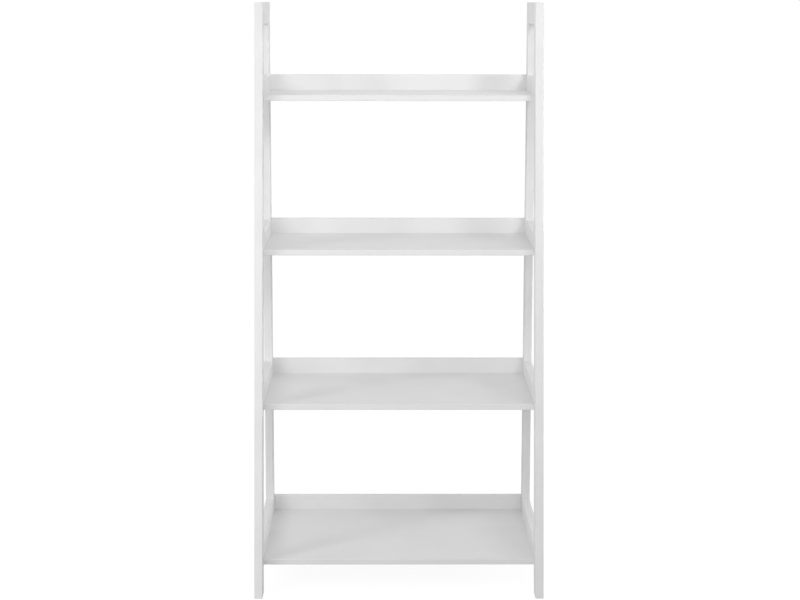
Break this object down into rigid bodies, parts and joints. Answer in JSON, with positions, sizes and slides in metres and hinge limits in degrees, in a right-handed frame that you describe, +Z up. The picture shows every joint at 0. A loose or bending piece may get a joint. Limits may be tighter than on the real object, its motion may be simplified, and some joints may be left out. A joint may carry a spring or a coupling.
{
  "type": "ladder bookcase",
  "caption": "White painted ladder-style bookcase with leaning front legs, upright rear legs and open shelves that get deeper towards the floor, each with a low back rail and side lips.",
  "frame": {"origin": "on the floor, under the middle of the bookcase's outline", "axes": "+X to the right as seen from the front, +Y to the rear, +Z up"},
  "size_m": [0.63, 0.46, 1.28],
  "materials": {
    "frame_paint": "solid wood, satin white paint",
    "shelf_paint": "fibreboard, satin white paint",
    "screw_steel": "bright zinc plate"
  },
  "bodies": {
    "root": {"back_rail_1": "shelf_paint", "back_rail_2": "shelf_paint", "back_rail_3": "shelf_paint", "back_rail_4": "shelf_paint", "left_front_leg": "frame_paint", "left_rear_leg": "frame_paint", "left_rung_1": "frame_paint", "left_rung_2": "frame_paint", "left_rung_3": "frame_paint", "left_rung_4": "frame_paint", "left_shelf_screws": "screw_steel", "left_top_rung": "frame_paint", "right_front_leg": "frame_paint", "right_rear_leg": "frame_paint", "right_rung_1": "frame_paint", "right_rung_2": "frame_paint", "right_rung_3": "frame_paint", "right_rung_4": "frame_paint", "right_shelf_screws": "screw_steel", "right_top_rung": "frame_paint", "shelf_1": "shelf_paint", "shelf_2": "shelf_paint", "shelf_3": "shelf_paint", "shelf_4": "shelf_paint"}
  },
  "joints": []
}
